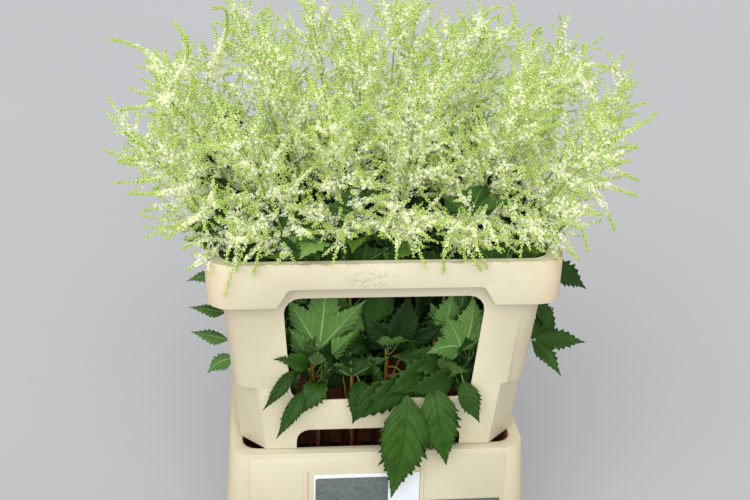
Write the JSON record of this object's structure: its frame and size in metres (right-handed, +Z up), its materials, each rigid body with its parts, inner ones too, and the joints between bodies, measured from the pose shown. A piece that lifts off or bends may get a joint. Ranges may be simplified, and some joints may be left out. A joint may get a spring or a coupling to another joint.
{
  "type": "astilbe plant",
  "caption": "Cut flowering astilbe stems with feathery plumes and toothed leaves, standing in a rectangular flower bucket with a slotted sleeve on its rim.",
  "frame": {"origin": "middle of the bucket's underside", "axes": "+Z up along the stems, +X along the bucket's long side, -Y towards the front with the label card"},
  "size_m": [0.6625, 0.4801, 0.8189],
  "materials": {
    "bucket_plastic": "cream injection-moulded polypropylene, satin, scuffed",
    "collar_plastic": "cream injection-moulded polypropylene, satin, scuffed",
    "card": "white card with a dark grey panel, no print",
    "strip": "dark blue-grey label, no print",
    "water": "still water",
    "stem_and_leaf": "green leaves on reddish-brown stems",
    "florets": "cream-white florets and yellow-green buds"
  },
  "bodies": {
    "root": {"bucket": "bucket_plastic", "collar": "collar_plastic", "label_card": "card", "label_strip": "strip", "water": "water", "stem_11": "stem_and_leaf", "stem_12": "stem_and_leaf", "stem_13": "stem_and_leaf", "stem_14": "stem_and_leaf", "stem_15": "stem_and_leaf", "stem_16": "stem_and_leaf", "stem_21": "stem_and_leaf", "stem_22": "stem_and_leaf", "stem_23": "stem_and_leaf", "stem_24": "stem_and_leaf", "stem_25": "stem_and_leaf", "stem_26": "stem_and_leaf", "stem_31": "stem_and_leaf", "stem_32": "stem_and_leaf", "stem_33": "stem_and_leaf", "stem_34": "stem_and_leaf", "stem_35": "stem_and_leaf", "stem_36": "stem_and_leaf", "stem_41": "stem_and_leaf", "stem_42": "stem_and_leaf", "stem_43": "stem_and_leaf", "stem_44": "stem_and_leaf", "stem_45": "stem_and_leaf", "stem_46": "stem_and_leaf", "plume_11": "florets", "plume_12": "florets", "plume_13": "florets", "plume_14": "florets", "plume_15": "florets", "plume_16": "florets", "plume_21": "florets", "plume_22": "florets", "plume_23": "florets", "plume_24": "florets", "plume_25": "florets", "plume_26": "florets", "plume_31": "florets", "plume_32": "florets", "plume_33": "florets", "plume_34": "florets", "plume_35": "florets", "plume_36": "florets", "plume_41": "florets", "plume_42": "florets", "plume_43": "florets", "plume_44": "florets", "plume_45": "florets", "plume_46": "florets"}
  },
  "joints": []
}
